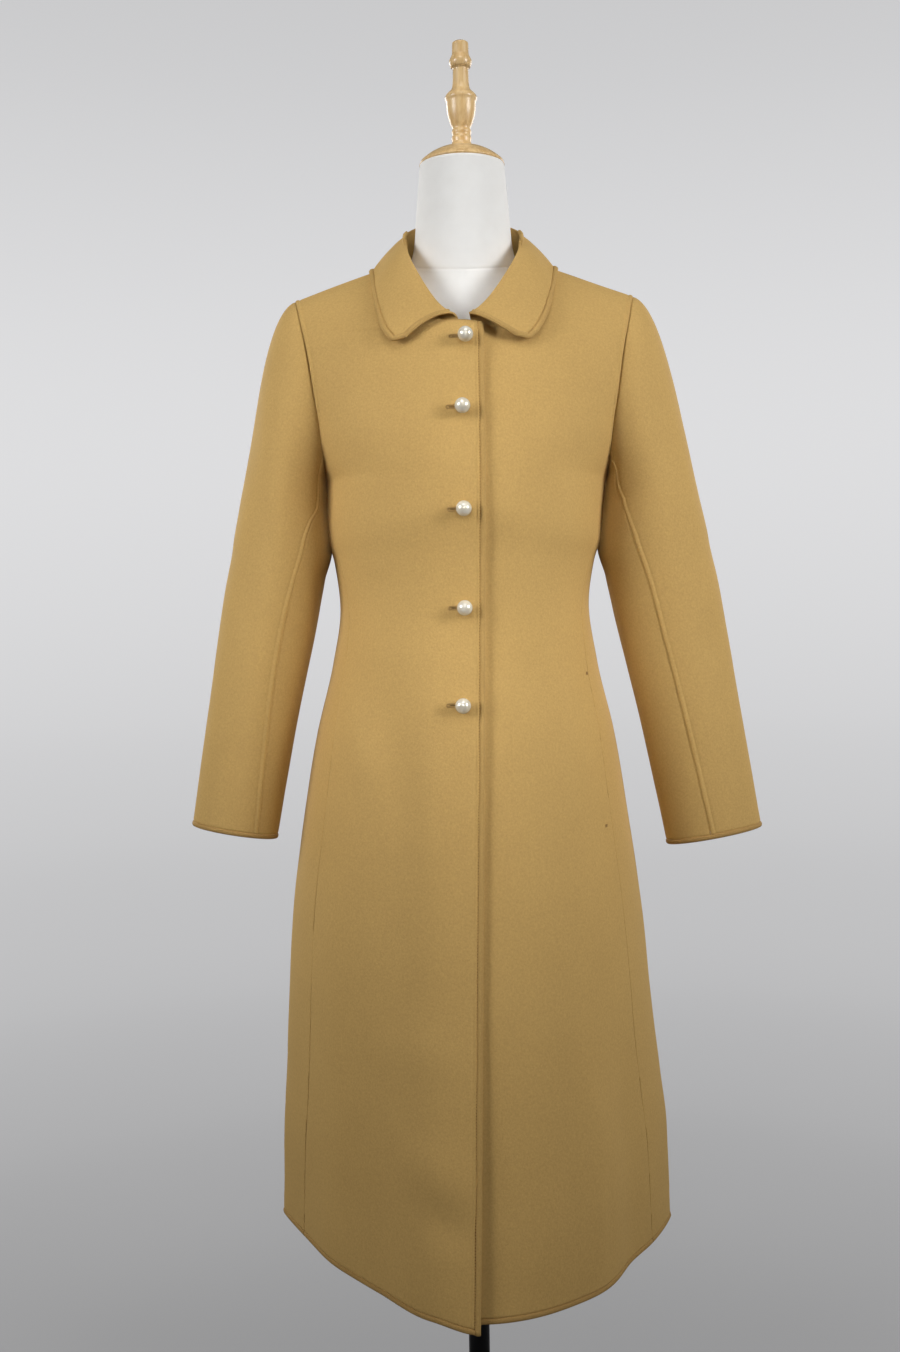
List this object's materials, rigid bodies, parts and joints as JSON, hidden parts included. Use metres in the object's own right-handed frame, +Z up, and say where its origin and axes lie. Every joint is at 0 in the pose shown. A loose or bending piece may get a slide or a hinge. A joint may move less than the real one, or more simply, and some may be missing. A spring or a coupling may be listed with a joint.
{
  "type": "wool coat on a dress form",
  "caption": "Knee-length double-faced wool coat with two-part sleeves, a small rounded collar, bound edges and pearl buttons, standing on a limbless dress form with a wood finial and round base",
  "frame": {"origin": "centre of the base's underside, on the floor", "axes": "+Z up, the coat's front faces -Y, the wearer's right side is -X"},
  "size_m": [0.6403, 0.3956, 1.6358],
  "materials": {
    "camel_wool": "soft brushed double-faced wool",
    "pearl": "pearl gloss",
    "form_cloth": "plain woven cover",
    "pale_wood": "clear satin lacquer",
    "black_steel": "black satin"
  },
  "bodies": {
    "root": {"front_right": "camel_wool", "front_left": "camel_wool", "back": "camel_wool", "sleeve_upper_right": "camel_wool", "sleeve_upper_left": "camel_wool", "sleeve_under_right": "camel_wool", "sleeve_under_left": "camel_wool", "collar": "camel_wool", "front_right_edge": "camel_wool", "front_left_edge": "camel_wool", "front_right_hem": "camel_wool", "front_left_hem": "camel_wool", "back_hem": "camel_wool", "cuff_right": "camel_wool", "cuff_left": "camel_wool", "collar_edge": "camel_wool", "button_1": "pearl", "button_2": "pearl", "button_3": "pearl", "button_4": "pearl", "button_5": "pearl", "form_body": "form_cloth", "neck_cap": "pale_wood", "finial": "pale_wood", "pole": "black_steel", "base": "black_steel"}
  },
  "joints": []
}
